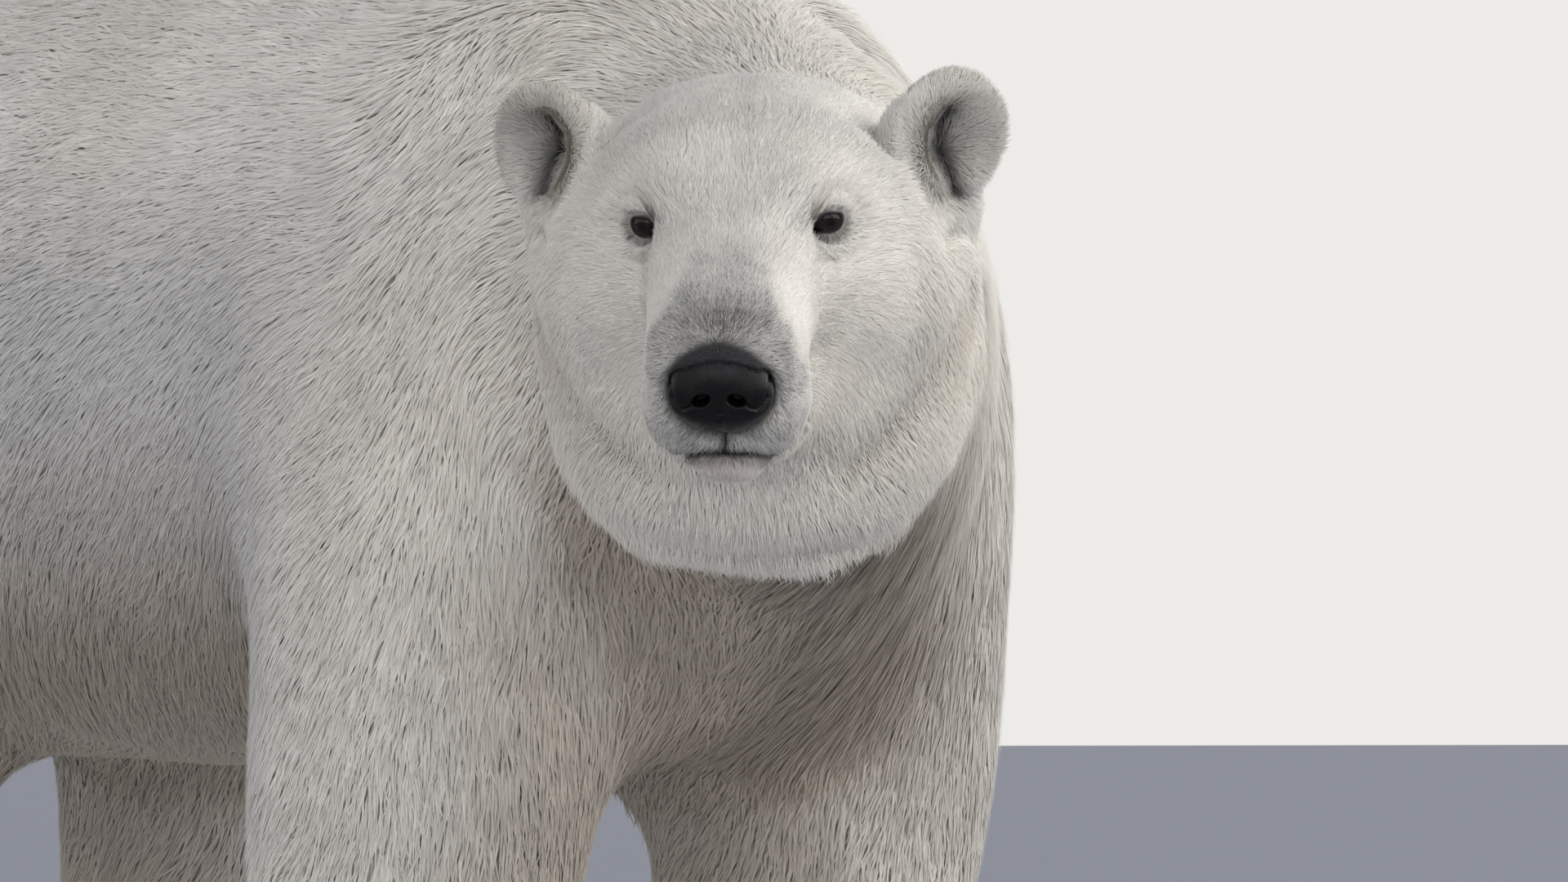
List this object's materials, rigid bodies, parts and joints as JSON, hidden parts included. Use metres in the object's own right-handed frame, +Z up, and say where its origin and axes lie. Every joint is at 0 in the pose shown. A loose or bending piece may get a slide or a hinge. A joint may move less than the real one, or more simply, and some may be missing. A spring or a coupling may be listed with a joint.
{
  "type": "polar bear",
  "caption": "Life-size standing polar bear in a thick white coat, head turned to its right and lowered towards the viewer.",
  "frame": {"origin": "on the floor, under the middle of the bounding box", "axes": "+Z up, +Y towards the tail, -Y the way the trunk faces, +X the animal's left"},
  "size_m": [0.7388, 2.174, 1.314],
  "materials": {
    "coat": "dense creamy white fur, longest on the neck, belly and legs",
    "face": "short close white fur, greyer on the muzzle and round the eyes",
    "nose": "black pebbled skin with a damp gloss",
    "eye": "wet dark brown eye",
    "claw": "dark horn, lighter at the tips"
  },
  "bodies": {
    "root": {"head": "face", "jaw": "face", "nose": "nose", "ear_left": "face", "ear_right": "face", "eye_left": "eye", "eye_right": "eye", "neck": "coat", "trunk": "coat", "tail": "coat", "foreleg_left": "coat", "forepaw_left": "coat", "claw_fore_left_1": "claw", "claw_fore_left_2": "claw", "claw_fore_left_3": "claw", "claw_fore_left_4": "claw", "claw_fore_left_5": "claw", "foreleg_right": "coat", "forepaw_right": "coat", "claw_fore_right_1": "claw", "claw_fore_right_2": "claw", "claw_fore_right_3": "claw", "claw_fore_right_4": "claw", "claw_fore_right_5": "claw", "hindleg_left": "coat", "hindpaw_left": "coat", "claw_hind_left_1": "claw", "claw_hind_left_2": "claw", "claw_hind_left_3": "claw", "claw_hind_left_4": "claw", "claw_hind_left_5": "claw", "hindleg_right": "coat", "hindpaw_right": "coat", "claw_hind_right_1": "claw", "claw_hind_right_2": "claw", "claw_hind_right_3": "claw", "claw_hind_right_4": "claw", "claw_hind_right_5": "claw"}
  },
  "joints": []
}
